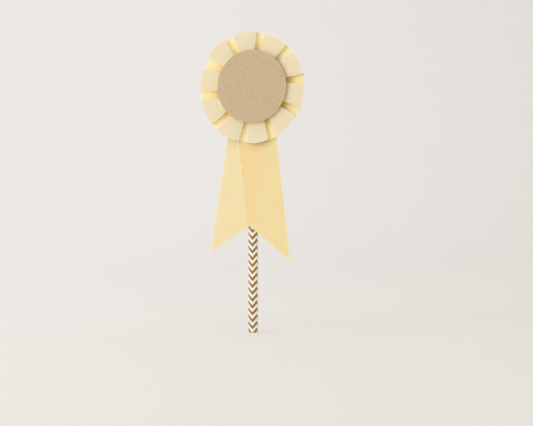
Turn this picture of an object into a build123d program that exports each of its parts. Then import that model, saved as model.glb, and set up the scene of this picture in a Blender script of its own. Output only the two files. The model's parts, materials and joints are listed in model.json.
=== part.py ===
from build123d import *
import math
import os

# A paper rosette with two ribbon tails, on a paper straw. Millimetres, +Z up.
# The origin is on the straw's axis at its foot, and the rosette faces -Y.

# Straw
STRAW_LENGTH = 197.0
STRAW_RADIUS = 3.0
STRAW_BORE_RADIUS = 2.5
STRAW_PLIES = 3
STRAW_SQUEEZE = 0.2  # how far the glued end is squeezed in, on the radius
STRAW_SQUEEZE_TAPER = 2.0  # the length over which the squeeze comes on

# Rosette: where its centre is, and its sizes
STRAW_PAST_CENTRE = 13.3  # the straw reaches this far above the rosette's centre
ROSETTE_SHIFT = 1.35  # the straw is glued this far from the rosette's centre, along X
RING_RADIUS = 35.5
STRIP_WIDTH = 25.4  # the pleated strip's width, which runs along the radius
CARD = 0.3  # thickness of the yellow card
PLEAT_HEIGHT = 2.7  # from the base disc to the front of a pleat
GAP_AT_RIM = 5.5  # between two pleats
GAP_SHARE_AT_HOLE = 0.5  # the share of the inner edge that the gaps take up
# Where the gaps between the pleats lie, in degrees clockwise from the top. They are folded by hand.
GAP_ANGLES = (10.0, 46.2, 81.8, 117.8, 156.2, 189.4, 224.8, 262.4, 299.0, 334.7)
LAP_GAP = 4  # the strip's ends lap in this gap's floor, counted from 0
LAP_SHARE = 0.7  # how much of that gap's width at the hole the lapped end covers
LAP_MARGIN = 0.5  # from the hole to the lapped end

# Discs and pads
BASE_DISC_RADIUS = 27.0
BASE_DISC_THICKNESS = 0.4
CENTRE_DISC_RADIUS = 23.4
CENTRE_DISC_THICKNESS = 0.4
CENTRE_DISC_OFFSET = (0.9, 0.3)  # glued by hand, along X and Z
PAD_SIDE = 6.0
PAD_THICKNESS = 2.0
PAD_EDGE = 1.1  # from a pad's outer side to the centre disc's edge
PAD_EVERY = 2  # a pad sits on every second pleat

# Tails. Each has an offset of its centreline from the rosette's centre, a lean away from vertical,
# a width, and the lengths of its two sides below the rosette's centre.
TAIL_ABOVE_CENTRE = 8.0
LEFT_TAIL = {"offset": 0.1, "lean": 8.9, "width": 25.0, "short_side": 87.2, "long_side": 109.3}
RIGHT_TAIL = {"offset": -1.1, "lean": -6.7, "width": 27.0, "short_side": 85.9, "long_side": 114.1}
BEND_BELOW_RIM = 1.3  # the tails bend along a line this far below the ring
BEND_SEAM = 0.2  # between a tail's glued end and its free length, at that line

# Glue bead between the straw and the tails
GLUE_THICKNESS = 0.6
GLUE_SPREAD = 2.5  # how far the bead spreads over the tail, out from the straw's side
GLUE_SHOULDER_SPREAD = 1.1
GLUE_SHOULDER_HEIGHT = 1.2  # above the tail
GLUE_LIP = 0.1  # the bead's edge, out from the squeezed straw's side
GLUE_SHORT_OF_AXIS = 1.0  # the bead climbs the straw to this far in front of its axis
GLUE_INSET = 2.0  # from the base disc's lower edge up to the bead's lower end
GLUE_BELOW_TAIL_TOP = 3.0

# Places, worked out from the straw forwards
ROSETTE_HEIGHT = STRAW_LENGTH - STRAW_PAST_CENTRE
LEFT_TAIL_BACK = -STRAW_RADIUS - GLUE_THICKNESS
RIGHT_TAIL_BACK = LEFT_TAIL_BACK - CARD
BASE_DISC_BACK = RIGHT_TAIL_BACK - CARD
RING_BACK = BASE_DISC_BACK - BASE_DISC_THICKNESS
PAD_BACK = RING_BACK - PLEAT_HEIGHT
CENTRE_DISC_BACK = PAD_BACK - PAD_THICKNESS
BEND_HEIGHT = ROSETTE_HEIGHT - RING_RADIUS - BEND_BELOW_RIM
GLUED_FROM = ROSETTE_HEIGHT - BASE_DISC_RADIUS
HOLE_RADIUS = RING_RADIUS - STRIP_WIDTH


def rosette_plane(back):
    """The plane that faces the front through the rosette's centre line, at this depth."""
    return Plane(origin=(ROSETTE_SHIFT, back, ROSETTE_HEIGHT), x_dir=(1, 0, 0), z_dir=(0, -1, 0))


def straw_ply(number):
    """One of the straw's wound plies, counted from the bore outwards."""
    ply = (STRAW_RADIUS - STRAW_BORE_RADIUS) / STRAW_PLIES
    inside = STRAW_BORE_RADIUS + number * ply
    outside = inside + ply
    squeezed_from = GLUED_FROM + STRAW_SQUEEZE_TAPER
    outline = Polyline(
        (inside, 0, 0),
        (outside, 0, 0),
        (outside, 0, GLUED_FROM),
        (outside - STRAW_SQUEEZE, 0, squeezed_from),
        (outside - STRAW_SQUEEZE, 0, STRAW_LENGTH),
        (inside - STRAW_SQUEEZE, 0, STRAW_LENGTH),
        (inside - STRAW_SQUEEZE, 0, squeezed_from),
        (inside, 0, GLUED_FROM),
        close=True,
    )
    return revolve(make_face(outline), axis=Axis.Z)


def pleat_section(radius, half_angle):
    """The folded card cut across one pleat, from the middle of one gap to the middle of the next."""
    slope = math.tan(math.radians(half_angle))
    edge_at_hole = HOLE_RADIUS * slope * (1 - GAP_SHARE_AT_HOLE)
    edge_at_rim = RING_RADIUS * slope - GAP_AT_RIM / 2
    side = radius * slope
    edge = edge_at_hole + (radius - HOLE_RADIUS) / STRIP_WIDTH * (edge_at_rim - edge_at_hole)
    right = [
        (side, 0),
        (side, CARD),
        (edge, CARD),
        (edge, PLEAT_HEIGHT),
    ]
    under = [
        (edge - CARD, 0),
        (edge - CARD, PLEAT_HEIGHT - CARD),
    ]
    front = [(-t, n) for t, n in right] + right[::-1]
    back = under + [(-t, n) for t, n in under[::-1]]
    plane = Plane(origin=(radius, 0, 0), x_dir=(0, 1, 0), z_dir=(1, 0, 0))
    return plane * make_face(Polyline(*front, *back, close=True))


def pleat(start_angle, end_angle):
    """One pleat with half a gap's floor on each side, its front towards local +Z."""
    half_angle = (end_angle - start_angle) / 2
    inner = HOLE_RADIUS * math.cos(math.radians(half_angle)) - CARD
    outer = RING_RADIUS + CARD
    body = loft([pleat_section(inner, half_angle), pleat_section(outer, half_angle)], ruled=True)
    annulus = extrude(Circle(RING_RADIUS) - Circle(HOLE_RADIUS), amount=PLEAT_HEIGHT)
    middle = (start_angle + end_angle) / 2
    return Rot(0, 0, 90 - middle) * (body & annulus)


def strip_lap():
    """The strip's end, which lies on the floor of one gap."""
    start, end = pleat_spans()[LAP_GAP]
    gap_at_hole = 2 * HOLE_RADIUS * math.tan(math.radians((end - start) / 2)) * GAP_SHARE_AT_HOLE
    width = gap_at_hole * LAP_SHARE
    length = STRIP_WIDTH - LAP_MARGIN
    strip = Pos(HOLE_RADIUS + LAP_MARGIN + length / 2, 0, CARD + CARD / 2) * Box(length, width, CARD)
    rim = extrude(Circle(RING_RADIUS), amount=PLEAT_HEIGHT)
    return Rot(0, 0, 90 - GAP_ANGLES[LAP_GAP]) * (strip & rim)


def pleat_spans():
    """The angles at which each pleat's share of the ring starts and ends."""
    ends = GAP_ANGLES[1:] + (GAP_ANGLES[0] + 360,)
    return list(zip(GAP_ANGLES, ends))


def pleated_ring():
    ring = strip_lap()
    for start, end in pleat_spans():
        ring += pleat(start, end)
    return rosette_plane(RING_BACK) * ring


def foam_pads():
    pads = []
    reach = CENTRE_DISC_RADIUS - PAD_EDGE - PAD_SIDE / 2
    for start, end in pleat_spans()[::PAD_EVERY]:
        pad = Pos(reach, 0, PAD_THICKNESS / 2) * Box(PAD_SIDE, PAD_SIDE, PAD_THICKNESS)
        pads.append(rosette_plane(PAD_BACK) * (Rot(0, 0, 90 - (start + end) / 2) * pad))
    return Compound(pads)


def base_disc():
    return extrude(rosette_plane(BASE_DISC_BACK) * Circle(BASE_DISC_RADIUS), amount=BASE_DISC_THICKNESS)


def centre_disc():
    disc = Pos(*CENTRE_DISC_OFFSET) * Circle(CENTRE_DISC_RADIUS)
    return extrude(rosette_plane(CENTRE_DISC_BACK) * disc, amount=CENTRE_DISC_THICKNESS)


def whole_tail(sizes, back):
    """A tail from its square top to its slanted end. Its long side is the one it leans towards."""
    half = sizes["width"] / 2
    outer = -half if sizes["lean"] > 0 else half
    outline = Polyline(
        (outer, TAIL_ABOVE_CENTRE),
        (outer, -sizes["long_side"]),
        (-outer, -sizes["short_side"]),
        (-outer, TAIL_ABOVE_CENTRE),
        close=True,
    )
    strip = Pos(sizes["offset"], 0) * (Rot(0, 0, -sizes["lean"]) * make_face(outline))
    return extrude(rosette_plane(back) * strip, amount=CARD)


def glued_end(tail):
    """The part of a tail above the line it bends along."""
    return split(tail, bisect_by=Plane.XY.offset(BEND_HEIGHT + BEND_SEAM / 2), keep=Keep.TOP)


def free_length(tail):
    """The part of a tail below that line."""
    return split(tail, bisect_by=Plane.XY.offset(BEND_HEIGHT - BEND_SEAM / 2), keep=Keep.BOTTOM)


def straw_glue():
    """The bead that runs up both sides of the straw, on the back of the left tail."""
    low = GLUED_FROM + GLUE_INSET
    high = ROSETTE_HEIGHT + TAIL_ABOVE_CENTRE - GLUE_BELOW_TAIL_TOP
    squeezed = STRAW_RADIUS - STRAW_SQUEEZE
    right = [
        (STRAW_RADIUS + GLUE_SPREAD, LEFT_TAIL_BACK),
        (STRAW_RADIUS + GLUE_SHOULDER_SPREAD, LEFT_TAIL_BACK + GLUE_SHOULDER_HEIGHT),
        (squeezed + GLUE_LIP, -GLUE_SHORT_OF_AXIS),
    ]
    left = [(-x, y) for x, y in right[::-1]]
    section = make_face(Polyline(*right, *left, close=True)) - Circle(squeezed)
    return extrude(Plane.XY.offset(low) * section, amount=high - low)


def build_parts():
    left_tail = whole_tail(LEFT_TAIL, LEFT_TAIL_BACK)
    right_tail = whole_tail(RIGHT_TAIL, RIGHT_TAIL_BACK)
    return {
        "straw_inner_ply": straw_ply(0),
        "straw_middle_ply": straw_ply(1),
        "straw_outer_ply": straw_ply(2),
        "straw_glue": straw_glue(),
        "tail_left_glued_end": glued_end(left_tail),
        "tail_left": free_length(left_tail),
        "tail_right_glued_end": glued_end(right_tail),
        "tail_right": free_length(right_tail),
        "base_disc": base_disc(),
        "pleated_ring": pleated_ring(),
        "foam_pads": foam_pads(),
        "centre_disc": centre_disc(),
    }


os.makedirs("parts", exist_ok=True)
for name, shape in build_parts().items():
    export_step(shape, f"parts/{name}.step")
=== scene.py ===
import bpy
import json
import math
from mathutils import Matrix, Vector, noise


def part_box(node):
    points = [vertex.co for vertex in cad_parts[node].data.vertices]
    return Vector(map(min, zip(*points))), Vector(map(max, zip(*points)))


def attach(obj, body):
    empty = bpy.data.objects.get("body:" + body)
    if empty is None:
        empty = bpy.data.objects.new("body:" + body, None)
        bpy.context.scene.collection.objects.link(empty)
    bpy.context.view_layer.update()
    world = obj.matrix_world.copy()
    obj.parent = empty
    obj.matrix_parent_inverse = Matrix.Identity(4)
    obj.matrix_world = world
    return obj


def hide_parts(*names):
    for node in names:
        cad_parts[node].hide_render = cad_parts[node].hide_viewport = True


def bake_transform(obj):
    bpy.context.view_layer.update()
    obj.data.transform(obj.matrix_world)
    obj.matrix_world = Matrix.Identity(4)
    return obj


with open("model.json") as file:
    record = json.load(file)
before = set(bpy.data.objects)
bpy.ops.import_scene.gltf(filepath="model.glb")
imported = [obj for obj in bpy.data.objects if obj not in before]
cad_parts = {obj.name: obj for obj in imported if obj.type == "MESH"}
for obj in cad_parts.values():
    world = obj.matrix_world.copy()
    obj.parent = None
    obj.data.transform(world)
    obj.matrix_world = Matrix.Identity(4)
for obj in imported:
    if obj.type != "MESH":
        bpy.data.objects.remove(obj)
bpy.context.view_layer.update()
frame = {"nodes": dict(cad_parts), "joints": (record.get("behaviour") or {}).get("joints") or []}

# A paper rosette with two ribbon tails, on a chevron straw pushed into a pale surface.
# Metres, in the CAD frame: +Z up, the rosette faces -Y, the origin is at the straw's foot.
MM = 0.001

# Places and sizes that the CAD nodes give
ring_low, ring_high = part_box("pleated_ring")
disc_low, disc_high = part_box("centre_disc")
base_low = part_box("base_disc")[0]
straw_low, straw_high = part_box("straw_outer_ply")
glue_low, glue_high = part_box("straw_glue")
pads_low, pads_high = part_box("foam_pads")
CENTRE = Vector(((ring_low.x + ring_high.x) / 2, 0, (ring_low.z + ring_high.z) / 2))
RING_RADIUS = (ring_high.x - ring_low.x) / 2
DISC_RADIUS = (disc_high.x - disc_low.x) / 2
STRAW_RADIUS = straw_high.x
HINGE = next(Vector(joint["pos_m"]) for joint in frame["joints"] if joint["name"] == "tails_flex")

# Yellow card
CARD = 0.3 * MM
CARD_SOFTENING = 0.05 * MM  # rounding of the card's cut edges
CUT_BAND = 0.5 * MM  # the strip along a cut edge that is painted lighter: the card's core, and on the yellow card also a painted highlight
TOUCH_GAP = 0.02 * MM  # between sheets that lie on each other

# Pleated ring
HOLE_RADIUS = 10.1 * MM
PLEAT_RISE = ring_high.y - ring_low.y  # from the base disc to a pleat's front
# Each row is one gap between pleats, clockwise from the top: its angle at the rim in degrees, how far
# it has turned by the disc's edge, then in mm its widths at the rim and at the disc's edge, how far its
# floor runs on under the pleats beside it, and how much further than the corners beside it the floor's
# outer edge reaches. The last value says how strong the gap's painted shade gets by the disc, from 0 to 1.
GAPS = (
    (9.8, 0.1, 5.4, 4.3, 0.3, -0.6, 0.6),
    (46.4, -0.6, 5.6, 3.8, 0.4, -0.3, 0.0),
    (82.6, -1.6, 6.1, 3.6, 0.7, -0.4, 1.0),
    (117.6, 0.6, 6.5, 3.6, 0.9, -0.6, 1.0),
    (156.3, -2.2, 6.5, 4.0, 0.0, 0.0, 0.5),
    (190.1, -0.6, 5.9, 3.3, -0.2, 0.0, 0.4),
    (225.9, -2.0, 5.0, 4.0, -0.4, 0.4, 0.9),
    (263.7, -4.3, 6.2, 5.6, -0.8, 0.5, 0.8),
    (298.3, 1.0, 7.1, 5.2, -0.8, -0.6, 0.5),
    (334.2, -0.1, 5.2, 3.8, -0.6, -0.6, 0.4),
)
NARROWEST_GAP = 0.8 * MM
FOLD_RADIUS = 0.4 * MM
FOLD_STEPS = 4
LARGEST_FLOOR_SHARE = 0.42  # a floor runs on under a pleat by no more than this share of its width
PLEAT_UNEVENNESS = 0.05 * MM
# Hand-made differences between the pleats in mm: how far from the centre the left and right corners
# of the front reach, the bow of the outer edge between them, the crown of the front, the lift of the
# outer end, and how far the corners of the front are pulled in.
PLEAT_USUAL = {"reach": (35.2, 35.2), "bow": 0.3, "crown": 0.2, "lift": 0.0, "pulled_in": 0.1}
PLEAT_CHANGES = {
    0: {"reach": (35.2, 35.1), "bow": 0.4},
    1: {"reach": (34.9, 35.4), "bow": 0.3},
    2: {"reach": (35.5, 35.2), "pulled_in": 0.4},
    3: {"reach": (35.4, 36.4), "bow": -0.3, "pulled_in": 0.6, "crown": 0.3},
    4: {"reach": (35.6, 35.5), "bow": 0.5, "lift": 0.2, "crown": 0.3},
    5: {"reach": (35.3, 35.8), "bow": 0.6, "lift": 0.2},
    6: {"reach": (35.7, 35.1)},
    7: {"reach": (35.0, 35.5)},
    8: {"reach": (36.1, 36.0), "bow": 0.4},
    9: {"reach": (35.2, 35.6), "bow": 0.2},
}
PAINTED_SHADE_LENGTH = 7 * MM  # over this length from the disc's edge outwards a gap's painted shade fades
PAINTED_DISC_SHADOW = 1.2 * MM  # the disc's painted shadow reaches this far out on the pleats from its edge
LAP_GAP = 4  # the strip's ends lap in this gap
LAP_HALF = 0.9 * MM

# Tails, as in the CAD source, in mm and degrees
TAIL_ABOVE_CENTRE = 8.0
TAILS = {
    "tail_left": {"offset": 0.1, "lean": 8.9, "width": 25.0, "short": 87.2, "long": 109.3},
    "tail_right": {"offset": -1.1, "lean": -6.7, "width": 27.0, "short": 85.9, "long": 114.1},
}
TAIL_CURL = 0.35 * MM  # how far the tails' lower ends curl forwards, about 75 mm below the bend
TAIL_CURL_LENGTH = 75 * MM
TAIL_CUP = 0.25 * MM  # how far the tails' sides come forwards, 20 mm from the middle
TAIL_CUP_REACH = 20 * MM
TAIL_WAVE = 0.1 * MM
RIGHT_EDGE_LIFT = 0.22 * MM  # the right tail's inner edge stands off the left tail this far
RIGHT_EDGE_LIFT_WIDTH = 3.5  # in mm, over this width
RIGHT_EDGE_LIFT_LENGTH = 15 * MM  # the lift comes on over this length below the bend
TIP_ROUNDING = 0.35  # in mm, how much the inner corner of a slanted end is rounded off
TIP_ROUNDING_WIDTH = 1.2
OVERLAP_SOFTNESS = 3.5  # in mm, the width over which the right tail's painted light through the layers changes at the left tail's edge

# Straw
STRAW_BORE_RADIUS = 2.5 * MM
STRAW_PLIES = 3
STRAW_SQUEEZE = 0.2 * MM
STRAW_SQUEEZE_TAPER = 2 * MM
STRIP_TURN = 20.9 * MM  # the height of one turn of the outer ply's seam
CHEVRONS_ROUND = 3
CHEVRON_FIRST_TIP = math.radians(10.2)  # from -Y towards +X
CHEVRON_TIP_HEIGHT = 72.4 * MM
CHEVRON_PERIOD = 4.42 * MM
CHEVRON_RISE = 3.46 * MM
CHEVRON_GOLD_SHARE = 0.5
CHEVRONS_BELOW = 40  # the bands are counted from this many below the tip, so that none is negative

# Foam pads
PAD_SIDE = 6 * MM
PAD_EDGE = 1.1 * MM
PAD_COUNT = 5
PAD_EVERY = 2  # a pad sits on every second pleat
PAD_INSET = 0.22 * MM  # where a pad meets the discs, from its full size
PAD_BULGE = 0.16 * MM
PAD_ROUGHNESS = 0.07 * MM

# Stage, light and camera
SURFACE_HEIGHT = 26.1 * MM  # the straw is pushed into the surface up to this height
STAGE_FLAT = 1.5  # the flat surface's radius, beyond which it curves up
STAGE_CURVE = 0.7
STAGE_HEIGHT = 1.5
WINDOW_PLACE = (-0.85, -1.2, 0.62)
WINDOW_SIZE = 1.1
WINDOW_POWER = 7.0
WINDOW_COLOUR = (0.97, 0.985, 1.0)
LIT_POINT = (0, 0, 0.16)
ROOM_COLOUR = (1.0, 0.965, 0.91, 1)
ROOM_STRENGTH = 0.95
CAMERA_AZIMUTH = math.radians(19.5)
CAMERA_DISTANCE = 0.95
CAMERA_RIGHT = 0.0086
CAMERA_HEIGHT = 0.1031
CAMERA_LENS = 99.5
SENSOR_WIDTH = 36


def srgb(red, green, blue):
    """A colour from its 0 to 255 values, as the linear colour that sockets hold."""
    linear = [c / 255 / 12.92 if c <= 10 else ((c / 255 + 0.055) / 1.055) ** 2.4 for c in (red, green, blue)]
    return (*linear, 1)


# Materials


class Finish:
    """A Principled material, with short ways to add the nodes that feed it. Sockets are named in the
    call as in Blender, in lower case with underscores."""

    def __init__(self, name, **sockets):
        self.material = bpy.data.materials.new(name)
        self.material.use_nodes = True
        self.tree = self.material.node_tree
        self.surface = self.tree.nodes["Principled BSDF"]
        self.place = self.add("TexCoord").outputs["Object"]
        for socket, value in sockets.items():
            self.surface.inputs[socket.replace("_", " ").title()].default_value = value

    def add(self, kind, inputs=None, **settings):
        """A node, with inputs given as values or as the outputs that feed them."""
        node = self.tree.nodes.new("ShaderNode" + kind)
        for name, value in settings.items():
            setattr(node, name, value)
        for key, value in (inputs or {}).items():
            if isinstance(value, bpy.types.NodeSocket):
                self.tree.links.new(value, node.inputs[key])
            else:
                node.inputs[key].default_value = value
        return node

    def math(self, operation, *values):
        return self.add("Math", dict(enumerate(values)), operation=operation).outputs[0]

    def noise(self, size, detail=3.0, stretch=None, roughness=0.55):
        """Noise from 0 to 1 whose features are about this size in metres."""
        place = self.place
        if stretch:
            place = self.add("Mapping", {"Vector": place, "Scale": stretch}).outputs[0]
        inputs = {"Vector": place, "Scale": 1 / size, "Detail": detail, "Roughness": roughness}
        return self.add("TexNoise", inputs).outputs["Fac"]

    def spread(self, value, low, high, from_low=0.3, from_high=0.7):
        """Noise stretched over a new range."""
        inputs = {"Value": value, "From Min": from_low, "From Max": from_high, "To Min": low, "To Max": high}
        return self.add("MapRange", inputs).outputs["Result"]

    def mark(self, name):
        """A number that the mesh holds at each point."""
        return self.add("Attribute", attribute_name=name).outputs["Fac"]

    def mix(self, share, first, second):
        """A mix of two colours, which are inputs 6 and 7 of the node."""
        node = self.add("Mix", {0: share, 6: first, 7: second}, data_type="RGBA")
        return node.outputs[2]

    def tinted(self, colour, brightness):
        """The colour made lighter or darker."""
        shade = self.add("CombineColor", {0: brightness, 1: brightness, 2: brightness}).outputs[0]
        node = self.add("Mix", {0: 1.0, 6: colour, 7: shade}, data_type="RGBA", blend_type="MULTIPLY")
        return node.outputs[2]

    def use(self, socket, value):
        """Feeds one of the surface's own sockets."""
        self.tree.links.new(value, self.surface.inputs[socket])

    def bump(self, height, distance, strength=1.0):
        inputs = {"Height": height, "Distance": distance, "Strength": strength}
        self.use("Normal", self.add("Bump", inputs).outputs["Normal"])


def paper_grain(finish):
    """Fibres that lie every way, as a height from 0 to 1."""
    long_fibres = finish.noise(0.5 * MM, 4, stretch=(1, 1, 0.3))
    cross_fibres = finish.noise(0.45 * MM, 4, stretch=(0.35, 1, 1))
    felt = finish.noise(1.6 * MM, 5)
    fibres = finish.math("ADD", long_fibres, cross_fibres)
    return finish.math("MULTIPLY", finish.math("ADD", fibres, felt), 1 / 3)


def card_finish(name, front, mid_painted_light_shade, deep_painted_light_shade, core_and_highlight):
    """Coloured card. Its mesh marks painted light and shade, which change its colour in two steps: on the
    ring, brighter and more saturated gap floors, and painted shade that deepens to orange by the disc and up
    the walls; on the right tail, painted light through the card where it lies over the left one. The mesh
    also marks where a fold or a cut edge is painted lighter: partly the card's core, partly a painted
    highlight."""
    finish = Finish(name, roughness=0.72, subsurface_weight=0.3, subsurface_scale=0.5 * MM)
    finish.surface.inputs["Subsurface Radius"].default_value = (1.0, 0.65, 0.35)
    finish.surface.inputs["Specular IOR Level"].default_value = 0.3
    finish.surface.inputs["Sheen Weight"].default_value = 0.08
    grain = paper_grain(finish)
    # painted light and shade: brighter gap floors on the ring, orange painted shade by the disc, and painted
    # light through the right tail's layers
    painted_light_shade = finish.mark("painted_light_shade")
    colour = finish.mix(finish.spread(painted_light_shade, 0, 1, 0, 0.5), front, mid_painted_light_shade)
    colour = finish.mix(finish.spread(painted_light_shade, 0, 1, 0.5, 1), colour, deep_painted_light_shade)
    cloud = finish.spread(finish.noise(9 * MM, 3), 0.99, 1.01)
    speckle = finish.spread(grain, 0.975, 1.02, 0.4, 0.6)
    colour = finish.tinted(colour, finish.math("MULTIPLY", cloud, speckle))
    # folds and cut edges are painted lighter: partly the card's core and crease, partly a painted highlight
    # where they catch the light
    wear_and_highlight_noise = finish.spread(finish.noise(1.1 * MM, 4), 0.6, 1.0)
    worn_and_highlit = finish.math("MULTIPLY", finish.mark("edge"), wear_and_highlight_noise)
    finish.use("Base Color", finish.mix(worn_and_highlit, colour, core_and_highlight))
    finish.use("Roughness", finish.spread(grain, 0.66, 0.82, 0.4, 0.6))
    finish.bump(grain, 0.05 * MM, 0.45)
    return finish.material


def glitter_finish():
    """Fine champagne glitter card: small flakes that lie at random angles in a rough coat."""
    finish = Finish("glitter_card", metallic=0.12)
    finish.surface.inputs["Specular IOR Level"].default_value = 0.35
    flakes = finish.add("TexVoronoi", {"Vector": finish.place, "Scale": 1 / (0.42 * MM)})
    grain = finish.noise(0.75 * MM, 4, roughness=0.65)
    cloud = finish.noise(5 * MM, 3)
    flake_tone = finish.add("SeparateColor", {0: flakes.outputs["Color"]}).outputs[0]
    tone = finish.mix(finish.spread(flake_tone, 0, 1, 0.1, 0.9), srgb(191, 168, 133), srgb(207, 186, 151))
    shade = finish.math("MULTIPLY", finish.spread(grain, 0.95, 1.04), finish.spread(cloud, 0.985, 1.015))
    colour = finish.tinted(tone, shade)
    # a few flakes are painted lighter in the base colour: a painted glint
    painted_glint = finish.spread(flake_tone, 0, 1, 0.955, 0.965)
    colour = finish.mix(painted_glint, colour, srgb(220, 200, 167))
    core = finish.math("MULTIPLY", finish.mark("edge"), 0.8)
    finish.use("Base Color", finish.mix(core, colour, srgb(214, 200, 172)))
    finish.use("Roughness", finish.spread(flake_tone, 0.5, 0.8, 0.1, 0.9))
    height = finish.math("ADD", flakes.outputs["Distance"], grain)
    finish.bump(height, 0.06 * MM, 0.4)
    return finish.material


def chevron_finish():
    """A paper straw's print: gold chevrons that point down, on white, under a thin food-safe coat."""
    finish = Finish("straw_print")
    finish.surface.inputs["Coat Weight"].default_value = 0.06
    finish.surface.inputs["Coat Roughness"].default_value = 0.35
    across = finish.add("SeparateXYZ", {0: finish.place})
    angle = finish.math("ARCTAN2", across.outputs[0], finish.math("MULTIPLY", across.outputs[1], -1))
    turn = math.tau / CHEVRONS_ROUND
    from_tip = finish.math("SUBTRACT", angle, CHEVRON_FIRST_TIP - math.tau)
    climb = finish.math("PINGPONG", from_tip, turn / 2)
    wobble = finish.spread(finish.noise(0.5 * MM, 3), -0.05 * MM, 0.05 * MM)
    lift = finish.math("MULTIPLY", climb, CHEVRON_RISE / (turn / 2))
    height = finish.math("SUBTRACT", across.outputs[2], finish.math("ADD", lift, wobble))
    height = finish.math("SUBTRACT", height, CHEVRON_TIP_HEIGHT - CHEVRONS_BELOW * CHEVRON_PERIOD)
    band = finish.math("MODULO", height, CHEVRON_PERIOD)
    soft = 0.07 * MM
    up = finish.spread(band, 0, 1, 0, soft)
    gold_height = CHEVRON_GOLD_SHARE * CHEVRON_PERIOD
    down = finish.spread(band, 1, 0, gold_height, gold_height + soft)
    ink = finish.math("MULTIPLY", up, down)
    grain = paper_grain(finish)
    ink_tone = finish.spread(finish.noise(0.8 * MM, 4), 0, 1)
    gold = finish.mix(ink_tone, srgb(140, 97, 12), srgb(170, 130, 36))
    paper = finish.tinted(srgb(255, 253, 246), finish.spread(grain, 0.97, 1.02, 0.4, 0.6))
    finish.use("Base Color", finish.mix(ink, paper, gold))
    finish.use("Metallic", finish.math("MULTIPLY", ink, 0.2))
    rough = finish.math("SUBTRACT", 0.62, finish.math("MULTIPLY", ink, 0.16))
    finish.use("Roughness", rough)
    finish.bump(finish.math("ADD", finish.math("MULTIPLY", ink, 0.5), grain), 0.025 * MM, 0.5)
    return finish.material


def plain_paper_finish(name, dark, light):
    """Plain uncoated paper, for what lies inside and behind."""
    finish = Finish(name)
    finish.surface.inputs["Specular IOR Level"].default_value = 0.25
    grain = paper_grain(finish)
    flecks = finish.spread(finish.noise(0.7 * MM, 5, roughness=0.7), 0, 1, 0.35, 0.65)
    finish.use("Base Color", finish.mix(flecks, dark, light))
    finish.use("Roughness", finish.spread(grain, 0.75, 0.95, 0.4, 0.6))
    finish.bump(grain, 0.05 * MM, 0.5)
    return finish.material


def foam_finish():
    """White closed-cell foam, cut with a knife so that its cells show."""
    finish = Finish("pad_foam")
    cells = finish.add("TexVoronoi", {"Vector": finish.place, "Scale": 1 / (0.35 * MM)}).outputs["Distance"]
    tone = finish.mix(finish.spread(cells, 0, 1, 0.1, 0.6), srgb(232, 228, 218), srgb(250, 248, 242))
    finish.use("Base Color", finish.tinted(tone, finish.spread(finish.noise(2 * MM), 0.97, 1.0)))
    finish.use("Roughness", finish.spread(cells, 0.95, 0.7, 0.1, 0.6))
    finish.bump(cells, 0.12 * MM, 0.6)
    return finish.material


def hot_glue_finish():
    """Set hot-melt glue: milky, a little cloudy, with a soft gloss."""
    finish = Finish("hot_glue", coat_weight=0.1)
    cloud = finish.noise(2.5 * MM, 3)
    finish.use("Base Color", finish.mix(cloud, srgb(233, 225, 200), srgb(246, 241, 226)))
    finish.use("Roughness", finish.spread(finish.noise(2 * MM, 3), 0.25, 0.38))
    finish.bump(finish.noise(1.8 * MM, 2), 0.12 * MM, 0.4)
    return finish.material


def stage_finish():
    """Matt paint with a little painted glow, as the walls of a light tent have, and painted paler at the
    window's side as painted light from the window."""
    finish = Finish("stage_paint", roughness=0.9, emission_strength=0.12)
    finish.surface.inputs["Specular IOR Level"].default_value = 0.1
    place = finish.add("SeparateXYZ", {0: finish.place})
    away_from_window = finish.spread(place.outputs[0], 0, 1, -0.8, 0.8)
    # painted light: the paint and its glow are paler towards the window
    painted_window_light = finish.mix(away_from_window, srgb(234, 233, 234), srgb(215, 213, 209))
    finish.use("Base Color", painted_window_light)
    finish.use("Emission Color", painted_window_light)
    return finish.material


# Meshes


def add_object(name, points, faces, marks):
    """A smooth mesh object. marks gives each point's numbers by name."""
    mesh = bpy.data.meshes.new(name)
    mesh.from_pydata(points, [], faces)
    for mark, values in marks.items():
        mesh.attributes.new(mark, "FLOAT", "POINT").data.foreach_set("value", values)
    mesh.shade_smooth()
    piece = bpy.data.objects.new(name, mesh)
    bpy.context.scene.collection.objects.link(piece)
    return piece


def soften_edges(piece, width):
    """Rounds the mesh's sharp edges a little, and keeps the result as its mesh."""
    bevel = piece.modifiers.new("soft_edges", "BEVEL")
    bevel.width = width
    bevel.segments = 2
    bevel.limit_method = "ANGLE"
    bevel.angle_limit = math.radians(50)
    depsgraph = bpy.context.evaluated_depsgraph_get()
    piece.data = bpy.data.meshes.new_from_object(piece.evaluated_get(depsgraph))
    piece.modifiers.clear()


def grid_normal(grid, row, column):
    """The direction that a sheet's front faces at one of its grid's points."""
    last_row, last_column = len(grid) - 1, len(grid[0]) - 1
    across = grid[row][min(column + 1, last_column)] - grid[row][max(column - 1, 0)]
    along = grid[min(row + 1, last_row)][column] - grid[max(row - 1, 0)][column]
    return across.cross(along).normalized()


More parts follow.
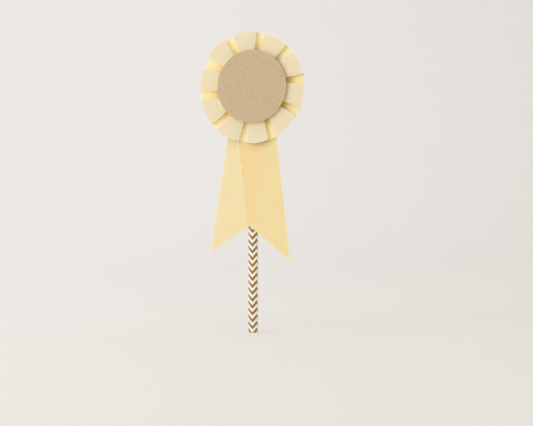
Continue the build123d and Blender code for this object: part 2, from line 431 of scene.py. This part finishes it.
def card_solid(name, grid, marks, thickness=CARD):
    """A sheet of card about a grid of points, closed round its edges. Its front is the side from which
    the columns run to the right when the rows run up."""
    rows, columns = len(grid), len(grid[0])
    points = []
    for side in (0.5, -0.5):
        for i in range(rows):
            for j in range(columns):
                points.append(grid[i][j] + grid_normal(grid, i, j) * thickness * side)
    back = rows * columns

    def at(i, j):
        return i * columns + j

    faces = []
    for i in range(rows - 1):
        for j in range(columns - 1):
            quad = (at(i, j), at(i, j + 1), at(i + 1, j + 1), at(i + 1, j))
            faces.append(quad)
            faces.append(tuple(back + k for k in quad[::-1]))
    border = [at(0, j) for j in range(columns)]
    border += [at(i, columns - 1) for i in range(1, rows)]
    border += [at(rows - 1, j) for j in range(columns - 2, -1, -1)]
    border += [at(i, 0) for i in range(rows - 2, 0, -1)]
    for here, after in zip(border, border[1:] + border[:1]):
        faces.append((after, here, back + here, back + after))
    both_sides = {mark: [v for row in values for v in row] * 2 for mark, values in marks.items()}
    return add_object(name, points, faces, both_sides)


def lathe(name, profile, centre, axes, segments, marks):
    """A closed solid turned about an axis. profile is (radius, distance along the axis) from pole to
    pole, and axes are the two directions across the axis and the one along it."""
    across, up, along = axes
    points = []
    for radius, distance in profile:
        for k in range(segments):
            angle = math.tau * k / segments
            points.append(
                centre + across * radius * math.cos(angle) + up * radius * math.sin(angle) + along * distance
            )
    faces = []
    for i in range(len(profile) - 1):
        for k in range(segments):
            after = (k + 1) % segments
            low, high = i * segments, (i + 1) * segments
            faces.append((low + k, low + after, high + after, high + k))
    first_pole = len(points)
    points.append(centre + along * profile[0][1])
    points.append(centre + along * profile[-1][1])
    top = (len(profile) - 1) * segments
    for k in range(segments):
        after = (k + 1) % segments
        faces.append((first_pole, after, k))
        faces.append((first_pole + 1, top + k, top + after))
    values = {m: [v for v in row for _ in range(segments)] + [0, 0] for m, row in marks.items()}
    return add_object(name, points, faces, values)


# Rosette


def on_rosette(angle, radius, forward):
    """A point by its angle clockwise from the top, its distance from the centre, and how far it is in
    front of the back of the ring."""
    return Vector((
        CENTRE.x + radius * math.sin(angle),
        ring_high.y - forward,
        CENTRE.z + radius * math.cos(angle),
    ))


def gap_at(number, radius):
    """The angle of a gap's middle and half its width as an angle, at this radius."""
    turns, index = divmod(number, len(GAPS))
    angle, turned, rim_width, disc_width = GAPS[index][:4]
    share = (radius - DISC_RADIUS) / (RING_RADIUS - DISC_RADIUS)
    width = max((disc_width + share * (rim_width - disc_width)) * MM, NARROWEST_GAP)
    middle = angle + turned * (1 - max(share, 0)) + 360 * turns
    return math.radians(middle), math.asin(width / 2 / radius)


def habit_of(number):
    """A pleat's hand-made differences, in mm."""
    return {**PLEAT_USUAL, **PLEAT_CHANGES.get(number % len(GAPS), {})}


def floor_under(number, room):
    """How far a gap's floor runs on under the pleats beside it."""
    return min(GAPS[number % len(GAPS)][4] * MM, room)


def floor_reach(number):
    """How far from the centre the outer edge of a gap's floor is."""
    beside = habit_of(number - 1)["reach"][1] + habit_of(number)["reach"][0]
    return (beside / 2 + GAPS[number % len(GAPS)][5]) * MM


def rounded_folds(corners, spans):
    """The folded line through the corners, with each fold rounded. A corner is (along, height, share
    of the full height, crease), and spans says how many steps each straight part takes."""
    line = [Vector(corners[0])]
    for number, (before, corner, after) in enumerate(zip(corners, corners[1:], corners[2:])):
        before, corner, after = Vector(before), Vector(corner), Vector(after)
        back, forth = before - corner, after - corner
        start = corner + back * min(FOLD_RADIUS / back.xy.length, 0.45)
        end = corner + forth * min(FOLD_RADIUS / forth.xy.length, 0.45)
        start.w = end.w = 0
        straight_from = line[-1].copy()
        steps = spans[number]
        line += [straight_from.lerp(start, k / steps) for k in range(1, steps)]
        for k in range(FOLD_STEPS + 1):
            t = k / FOLD_STEPS
            point = start * (1 - t) ** 2 + corner * 2 * t * (1 - t) + end * t ** 2
            point.w = corner.w * 4 * t * (1 - t)
            line.append(point)
    straight_from = line[-1].copy()
    line += [straight_from.lerp(Vector(corners[-1]), k / spans[-1]) for k in range(1, spans[-1] + 1)]
    return line


def painted_light_shade_at(gap, radius, raised):
    """The painted light and shade beside this gap: brighter on its floor, painted shade up its walls and by
    the disc, and the disc's painted shadow on the pleats.
    """
    painted_shade_amount = GAPS[gap % len(GAPS)][6]
    past_disc = max(0, radius - DISC_RADIUS)
    near_disc = 1 - min(1, past_disc / PAINTED_SHADE_LENGTH)
    floor = (1 - raised) * (0.5 + 0.5 * near_disc * painted_shade_amount)
    wall = 3.2 * raised * (1 - raised) * painted_shade_amount
    painted_disc_shadow = raised * 0.7 * (1 - min(1, past_disc / PAINTED_DISC_SHADOW))
    return min(1, floor + wall + painted_disc_shadow)


def pleat_row(number, share):
    """One row of the strip's points across a pleat and half the gaps beside it, at this share of the
    way from the hole to the rim, with each point's marks."""
    habit = habit_of(number)
    reach = [corner * MM for corner in habit["reach"]]
    before = floor_reach(number)
    after = floor_reach(number + 1)
    radius = HOLE_RADIUS + (sum(reach) / 2 - HOLE_RADIUS) * share
    left_middle, left_half = gap_at(number, radius)
    right_middle, right_half = gap_at(number + 1, radius)
    left, right = (left_middle + left_half) * radius, (right_middle - right_half) * radius
    room = (right - left) * LARGEST_FLOOR_SHARE
    floor = CARD / 2
    front = PLEAT_RISE - CARD / 2 + habit["lift"] * MM * share ** 3
    starts_strip = number % len(GAPS) == LAP_GAP
    ends_strip = (number + 1) % len(GAPS) == LAP_GAP
    first = left_middle * radius - (LAP_HALF if starts_strip else 0)
    last = right_middle * radius + (LAP_HALF if ends_strip else 0)
    last_floor = floor + (CARD + TOUCH_GAP if ends_strip else 0)
    corners = [
        (first, floor, 0, 0),
        (left + floor_under(number, room), floor, 0, 0),
        (left, front, 1, 1),
        (right, front, 1, 1),
        (right - floor_under(number + 1, room), last_floor, 0, 0),
        (last, last_floor, 0, 0),
    ]
    line = rounded_folds(corners, (3, 1, 8, 1, 3))
    if not ends_strip:
        line = line[:-1]
    row = []
    for along, height, raised, crease in line:
        position = (along - left) / (right - left)
        inside = max(0, 1 - (2 * position - 1) ** 2)
        if position < 0:
            into_gap = (left - along) / (left - left_middle * radius)
            rim = reach[0] + (before - reach[0]) * min(1, into_gap * 2)
        elif position > 1:
            into_gap = (along - right) / (right_middle * radius - right)
            rim = reach[1] + (after - reach[1]) * min(1, into_gap * 2)
        else:
            rim = reach[0] + (reach[1] - reach[0]) * position
        rim += habit["bow"] * MM * inside * raised
        rim -= habit["pulled_in"] * MM * raised * (1 - inside) ** 2
        own_radius = HOLE_RADIUS + (rim - HOLE_RADIUS) * share
        height += habit["crown"] * MM * inside * raised
        point = on_rosette(along / radius, own_radius, height)
        point.y += PLEAT_UNEVENNESS * noise.noise(point / (7 * MM)) * raised
        row.append((point, painted_light_shade_at(number + (position > 0.5), own_radius, raised), crease))
    return row


def pleated_ring():
    """One strip of card, folded into pleats all the way round, with its ends lapped."""
    length = RING_RADIUS - HOLE_RADIUS
    band = CUT_BAND / length
    shares = [0, band] + [k / 16 for k in range(1, 16)] + [1 - band, 1]
    grid, painted_light_shade, edge = [], [], []
    for share in shares:
        row = []
        for number in range(LAP_GAP, LAP_GAP + len(GAPS)):
            row += pleat_row(number, share)
        at_cut = 1.0 if share in (0, 1) else 0.0
        grid.append([point for point, _, _ in row])
        painted_light_shade.append([into for _, into, _ in row])
        edge.append([max(at_cut * 0.8, crease) for _, _, crease in row])
    ring = card_solid("rosette_ring", grid, {"painted_light_shade": painted_light_shade, "edge": edge})
    soften_edges(ring, CARD_SOFTENING)
    return ring


FACING = (Vector((1, 0, 0)), Vector((0, 0, 1)), Vector((0, -1, 0)))


def disc(name, box, rings, segments, grain_height, grain_size):
    """A card disc with softened edges, whose front has a grain."""
    low, high = box
    centre = Vector(((low.x + high.x) / 2, high.y, (low.z + high.z) / 2))
    radius = (high.x - low.x) / 2
    thickness = high.y - low.y
    soft = 0.08 * MM
    back = [(radius * k / 8, 0) for k in range(1, 8)]
    rim = [
        (radius - CUT_BAND, 0),
        (radius - soft, 0),
        (radius - soft * 0.3, soft * 0.3),
        (radius, soft),
        (radius, thickness - soft),
        (radius - soft * 0.3, thickness - soft * 0.3),
        (radius - soft, thickness),
        (radius - CUT_BAND, thickness),
    ]
    front = [(radius * k / rings, thickness) for k in range(rings - 1, 0, -1)]
    front = [(r, n) for r, n in front if r < radius - CUT_BAND * 1.2]
    profile = back + rim + front
    edge = [0] * (len(back) + 1) + [1] * (len(rim) - 2) + [0] * (len(front) + 1)
    # The front faces -Y, so the turn runs clockwise as seen from there.
    across, up, along = FACING
    piece = lathe(name, profile, centre, (across, -up, along), segments, {"edge": edge})
    # The grain goes in from the front, so that the disc keeps about its own thickness.
    for vertex in piece.data.vertices:
        if vertex.co.y < low.y + soft / 2:
            rise = noise.noise(vertex.co / grain_size) + 0.5 * noise.noise(vertex.co / (grain_size * 0.4))
            vertex.co.y += (rise - 1.2) * -grain_height * 0.5
    return piece


def foam_pad(number, angle):
    """One square pad. Its sides bulge a little between the discs, and show cut foam."""
    steps, layers = 14, 6
    reach = DISC_RADIUS - PAD_EDGE - PAD_SIDE / 2
    thickness = pads_high.y - pads_low.y
    centre = on_rosette(angle, reach, 0)
    out = Vector((math.sin(angle), 0, math.cos(angle)))
    side = Vector((math.cos(angle), 0, -math.sin(angle)))
    points, faces = [], []
    loop = [(-1 + 2 * k / steps, -1) for k in range(steps)]
    loop += [(1, -1 + 2 * k / steps) for k in range(steps)]
    loop += [(1 - 2 * k / steps, 1) for k in range(steps)]
    loop += [(-1, 1 - 2 * k / steps) for k in range(steps)]
    heights = [k / layers for k in range(layers + 1)]
    for share in heights:
        bulge = 1 - (2 * share - 1) ** 2
        for a, b in loop:
            corner = (abs(a) * abs(b)) ** 6
            size = PAD_SIDE / 2 * (1 - 0.05 * corner) - PAD_INSET + PAD_BULGE * bulge
            place = centre + side * a * size + out * b * size
            place.y = pads_high.y - TOUCH_GAP - share * (thickness - 2 * TOUCH_GAP)
            rough = PAD_ROUGHNESS * noise.noise(place / (0.7 * MM)) * (0.3 + bulge)
            points.append(place + (side * a + out * b).normalized() * rough)
    count = len(loop)
    for level in range(layers):
        for k in range(count):
            after = (k + 1) % count
            low, high = level * count, (level + 1) * count
            faces.append((low + after, low + k, high + k, high + after))
    faces.append(tuple(range(count)))
    faces.append(tuple(layers * count + k for k in range(count - 1, -1, -1)))
    return add_object(f"foam_pad_{number}", points, faces, {})


# Tails


def tail_forward(x, z):
    """How far the tails stand in front of their flat CAD shape. Both follow the same curve."""
    below = max(0, (HINGE.z - z) / TAIL_CURL_LENGTH)
    side = (x - CENTRE.x) / TAIL_CUP_REACH
    curl = TAIL_CURL * min(below, 1.2) ** 1.7 + TAIL_CUP * side * side * min(below, 1)
    wave = TAIL_WAVE * noise.noise(Vector((x / (26 * MM), 0, z / (30 * MM)))) * min(below * 3, 1)
    return curl + wave


def tail_point(size, across, down, flat_y):
    """A point of a tail's middle layer, by how far across from its left side and how far down it is,
    from 0 to 1. flat_y is where the layer would lie if the tail were flat."""
    leans_left = size["lean"] > 0
    ends = (size["long"], size["short"]) if leans_left else (size["short"], size["long"])
    end = ends[0] + (ends[1] - ends[0]) * across
    from_inner = (1 - across if leans_left else across) * size["width"]
    end -= TIP_ROUNDING * max(0, 1 - from_inner / TIP_ROUNDING_WIDTH) ** 2
    x = -size["width"] / 2 + size["width"] * across
    y = TAIL_ABOVE_CENTRE - (TAIL_ABOVE_CENTRE + end) * down
    turn = math.radians(-size["lean"])
    x, y = x * math.cos(turn) - y * math.sin(turn), x * math.sin(turn) + y * math.cos(turn)
    place = Vector((CENTRE.x + (x + size["offset"]) * MM, flat_y, CENTRE.z + y * MM))
    forward = tail_forward(place.x, place.z)
    if not leans_left:
        free = min(1, max(0, (HINGE.z - place.z) / RIGHT_EDGE_LIFT_LENGTH))
        forward += RIGHT_EDGE_LIFT * max(0, 1 - from_inner / RIGHT_EDGE_LIFT_WIDTH) ** 2 * free
    place.y -= forward
    return place


def tail(name, back_node, free_node):
    """A tail in one length, from its glued end to its slanted end. The right one is marked as deeper in
    colour, and most where it lies over the left one, where the deeper colour is painted light through the
    card's layers."""
    size = TAILS[free_node]
    low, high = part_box(free_node)
    band = CUT_BAND / MM / size["width"]
    columns = [0, band] + [k / 22 for k in range(1, 22)] + [1 - band, 1]
    band = CUT_BAND / MM / size["long"]
    rows = [0, band] + [k / 70 for k in range(1, 70)] + [1 - band, 1]
    grid, edge, painted_light_shade = [], [], []
    for down in rows:
        line = [tail_point(size, across, down, (low.y + high.y) / 2) for across in columns]
        grid.append(line)
        # the tails' cut edges are painted lighter: core and painted highlight
        edge.append([1.0 if across in (0, 1) or down in (0, 1) else 0.0 for across in columns])
        # the right tail is painted deeper all over, and deepest where the left tail lies behind it: painted
        # light through the layers
        if free_node == "tail_right":
            painted_light_shade.append([0.5 + 0.5 * left_tail_behind(place) for place in line])
        else:
            painted_light_shade.append([0.0] * len(line))
    # Rows run down and columns to the right here, so the sheet is turned over to face the front.
    grid, edge, painted_light_shade = ([row[::-1] for row in table] for table in (grid, edge, painted_light_shade))
    piece = card_solid(name, grid, {"edge": edge, "painted_light_shade": painted_light_shade}, CARD - TOUCH_GAP)
    soften_edges(piece, CARD_SOFTENING)
    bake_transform(piece)
    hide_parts(back_node, free_node)
    return piece


def left_tail_behind(place):
    """1 where the left tail lies behind this place, and 0 where it doesn't, with a soft step between."""
    size = TAILS["tail_left"]
    turn = math.radians(size["lean"])
    x = (place.x - CENTRE.x) / MM - size["offset"]
    y = (place.z - CENTRE.z) / MM
    across = x * math.cos(turn) - y * math.sin(turn)
    inside = (size["width"] / 2 - across) / OVERLAP_SOFTNESS + 0.5
    return min(1.0, max(0.0, inside))


# Straw and glue


def straw_squeeze(z):
    """How far the straw is squeezed in at this height, on the radius."""
    share = (z - base_low.z) / STRAW_SQUEEZE_TAPER
    return STRAW_SQUEEZE * min(1, max(0, share))


def straw_outer_ply():
    """The printed ply: a strip wound round the straw, so that its seam runs round it as a helix."""
    ply = (STRAW_RADIUS - STRAW_BORE_RADIUS) / STRAW_PLIES
    inside = STRAW_RADIUS - ply
    seam = [-0.09, -0.045, -0.015, 0.015, 0.045, 0.09]
    dip = {-0.015: 1.0, 0.015: 0.75, -0.045: 0.35, 0.045: 0.1}
    count = 54
    turns = seam + [0.09 + (math.tau - 0.18) * k / count for k in range(1, count)]
    rows = 281
    columns = len(turns)
    points = []
    for wall in ("outside", "inside"):
        for i in range(rows):
            z = straw_low.z + (straw_high.z - straw_low.z) * i / (rows - 1)
            twist = math.tau * z / STRIP_TURN
            frayed = 0.05 * MM * max(0, 1 - min(i, rows - 1 - i) / 1.5)
            for turn in turns:
                angle = turn + twist
                radius = inside + 0.01 * MM
                if wall == "outside":
                    radius = STRAW_RADIUS - 0.06 * MM * dip.get(turn, 0) - frayed
                radius -= straw_squeeze(z)
                points.append(Vector((radius * math.sin(angle), -radius * math.cos(angle), z)))
    faces = []
    back = rows * columns
    for i in range(rows - 1):
        for j in range(columns):
            after = (j + 1) % columns
            quad = (i * columns + j, i * columns + after, (i + 1) * columns + after, (i + 1) * columns + j)
            faces.append(quad)
            faces.append(tuple(back + k for k in quad[::-1]))
    top = (rows - 1) * columns
    for j in range(columns):
        after = (j + 1) % columns
        faces.append((after, j, back + j, back + after))
        faces.append((top + j, top + after, back + top + after, back + top + j))
    return add_object("straw_printed_ply", points, faces, {})


def glue_section(z):
    """The bead's outline at one height: over the tail, up the straw's side, round it and down again.
    Its sizes in mm are what is left at the bead's ends, and what its full section adds to that."""
    low, high = glue_low.z, glue_high.z
    middle, half = (low + high) / 2, (high - low) / 2
    along = (z - middle) / half
    fullness = max(0.0, 1 - abs(along) ** 5) ** 0.5
    radius = STRAW_RADIUS - STRAW_SQUEEZE + TOUCH_GAP
    tail_face = glue_low.y
    outline = []
    for sign in (1, -1):
        swell = 1 + 0.16 * noise.noise(Vector((sign * 3.1, 0.4, z / (6 * MM))))
        foot = radius + (0.35 + 2.15 * fullness * swell) * MM
        climb = tail_face + (0.5 + 2.0 * fullness * swell) * MM
        waist = radius + (0.15 + 0.85 * fullness * swell) * MM
        shoulder = tail_face + (0.3 + 0.85 * fullness) * MM
        start = Vector((foot, tail_face + 0.02 * MM))
        knee = Vector((foot - 0.05 * MM, tail_face + 0.25 * MM))
        bend = Vector((waist, shoulder))
        lip_angle = math.asin(min(0.98, max(-0.98, climb / radius)))
        lip = Vector((radius * math.cos(lip_angle), radius * math.sin(lip_angle)))
        side = []
        for k in range(10):
            t = k / 9
            a = start.lerp(knee, t)
            b = knee.lerp(bend, t)
            c = bend.lerp(lip, t)
            side.append(a.lerp(b, t).lerp(b.lerp(c, t), t))
        for k in range(1, 9):
            angle = lip_angle + (-math.pi / 2 - lip_angle) * k / 9
            side.append(Vector((radius * math.cos(angle), radius * math.sin(angle))))
        outline.append([Vector((sign * p.x, p.y)) for p in side])
    bottom = Vector((0, -radius))
    return outline[0] + [bottom] + outline[1][::-1]


def straw_glue():
    """The hot-melt bead along both sides of the straw, on the back of the left tail."""
    rows = 61
    points, faces = [], []
    for i in range(rows):
        share = 0.5 - 0.5 * math.cos(math.pi * i / (rows - 1))
        z = glue_low.z + (glue_high.z - glue_low.z) * share
        points += [Vector((p.x, p.y, z)) for p in glue_section(z)]
    count = len(points) // rows
    for i in range(rows - 1):
        for k in range(count):
            after = (k + 1) % count
            faces.append((i * count + k, i * count + after, (i + 1) * count + after, (i + 1) * count + k))
    faces.append(tuple(range(count - 1, -1, -1)))
    faces.append(tuple((rows - 1) * count + k for k in range(count)))
    return add_object("straw_glue_bead", points, faces, {})


# Stage, light and camera


def add_stage():
    """A pale surface that curves up all round into a plain wall. Its sizes are in metres."""
    profile = [(STAGE_FLAT * k / 6, 0) for k in range(1, 7)]
    for k in range(1, 13):
        angle = math.pi / 2 * k / 12
        out = STAGE_FLAT + STAGE_CURVE * math.sin(angle)
        profile.append((out, STAGE_CURVE - STAGE_CURVE * math.cos(angle)))
    profile.append((STAGE_FLAT + STAGE_CURVE, STAGE_HEIGHT))
    segments = 96
    points = [Vector((0, 0, SURFACE_HEIGHT))]
    for radius, up in profile:
        for k in range(segments):
            angle = math.tau * k / segments
            points.append(Vector((radius * math.cos(angle), radius * math.sin(angle), SURFACE_HEIGHT + up)))
    faces = [(0, 1 + k, 1 + (k + 1) % segments) for k in range(segments)]
    for i in range(len(profile) - 1):
        for k in range(segments):
            low, high, after = 1 + i * segments, 1 + (i + 1) * segments, (k + 1) % segments
            faces.append((low + k, high + k, high + after, low + after))
    floor = add_object("stage", points, faces, {})
    floor.data.materials.append(stage_finish())


def add_window():
    """A large soft lamp at the front left, which the camera doesn't see."""
    data = bpy.data.lights.new("window", "AREA")
    data.size = WINDOW_SIZE
    data.energy = WINDOW_POWER
    data.color = WINDOW_COLOUR
    light = bpy.data.objects.new("window", data)
    light.location = WINDOW_PLACE
    light.visible_camera = False
    light.rotation_mode = "QUATERNION"
    light.rotation_quaternion = (Vector(LIT_POINT) - Vector(WINDOW_PLACE)).to_track_quat("-Z", "Y")
    bpy.context.scene.collection.objects.link(light)


def add_room_light():
    """Even, slightly warm light from all round."""
    world = bpy.data.worlds.new("studio")
    world.use_nodes = True
    background = world.node_tree.nodes["Background"]
    background.inputs["Color"].default_value = ROOM_COLOUR
    background.inputs["Strength"].default_value = ROOM_STRENGTH
    bpy.context.scene.world = world


def add_camera():
    """A level camera at the front, a little to the right."""
    back = Vector((math.sin(CAMERA_AZIMUTH), -math.cos(CAMERA_AZIMUTH), 0))
    right = Vector((math.cos(CAMERA_AZIMUTH), math.sin(CAMERA_AZIMUTH), 0))
    data = bpy.data.cameras.new("camera")
    data.sensor_width = SENSOR_WIDTH
    data.lens = CAMERA_LENS
    camera = bpy.data.objects.new("camera", data)
    camera.location = back * CAMERA_DISTANCE + right * CAMERA_RIGHT + Vector((0, 0, CAMERA_HEIGHT))
    camera.rotation_mode = "QUATERNION"
    camera.rotation_quaternion = (-back).to_track_quat("-Z", "Y")
    bpy.context.scene.collection.objects.link(camera)
    bpy.context.scene.camera = camera


# Assembly


def place_piece(piece, material, body, slot, *nodes):
    """Gives a new piece its material and body, and says which CAD nodes it stands for."""
    piece.data.materials.clear()
    piece.data.materials.append(material)
    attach(piece, body)
    if nodes:
        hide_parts(*nodes)


def dress_rosette():
    # front is the card's own colour; the brighter, more saturated floor colour and the orange by the disc
    # are painted light and shade
    front, mid_painted_light_shade, deep_painted_light_shade = srgb(235, 223, 190), srgb(252, 237, 187), srgb(255, 208, 108)
    card = card_finish("yellow_card", front, mid_painted_light_shade, deep_painted_light_shade, srgb(252, 247, 226))
    place_piece(pleated_ring(), card, "rosette", "yellow_card", "pleated_ring")
    glitter = disc("glitter_disc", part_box("centre_disc"), 70, 240, 0.05 * MM, 0.55 * MM)
    place_piece(glitter, glitter_finish(), "rosette", "glitter_card", "centre_disc")
    backing = plain_paper_finish("backing_card", srgb(233, 222, 197), srgb(245, 237, 217))
    base = disc("backing_disc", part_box("base_disc"), 24, 180, 0.01 * MM, 2 * MM)
    place_piece(base, backing, "rosette", "backing_card", "base_disc")


def dress_pads():
    foam = foam_finish()
    for number in range(PAD_COUNT):
        first, second = GAPS[PAD_EVERY * number][0], GAPS[PAD_EVERY * number + 1][0]
        pad = foam_pad(number + 1, math.radians((first + second) / 2))
        place_piece(pad, foam, "rosette", "pad_foam", "foam_pads")


def dress_tails():
    # front is the left tail's colour; the other two are the right tail's, deepest over the left tail as
    # painted light through the layers
    front, mid_painted_light_shade, deep_painted_light_shade = srgb(241, 226, 180), srgb(240, 222, 168), srgb(249, 219, 162)
    card = card_finish("tail_card", front, mid_painted_light_shade, deep_painted_light_shade, srgb(255, 251, 234))
    for name, node in (("ribbon_tail_left", "tail_left"), ("ribbon_tail_right", "tail_right")):
        piece = tail(name, f"{node}_glued_end", node)
        piece.data.materials.clear()
        piece.data.materials.append(card)


def dress_straw():
    place_piece(straw_outer_ply(), chevron_finish(), "rosette", "straw_print", "straw_outer_ply")
    paper = plain_paper_finish("straw_paper", srgb(236, 231, 218), srgb(250, 247, 238))
    for node in ("straw_inner_ply", "straw_middle_ply"):
        frame["nodes"][node].data.materials.clear()
        frame["nodes"][node].data.materials.append(paper)
    place_piece(straw_glue(), hot_glue_finish(), "rosette", "hot_glue", "straw_glue")


add_camera()
add_stage()
add_window()
add_room_light()
dress_rosette()
dress_pads()
dress_tails()
dress_straw()

bpy.context.scene.view_settings.view_transform = "Standard"
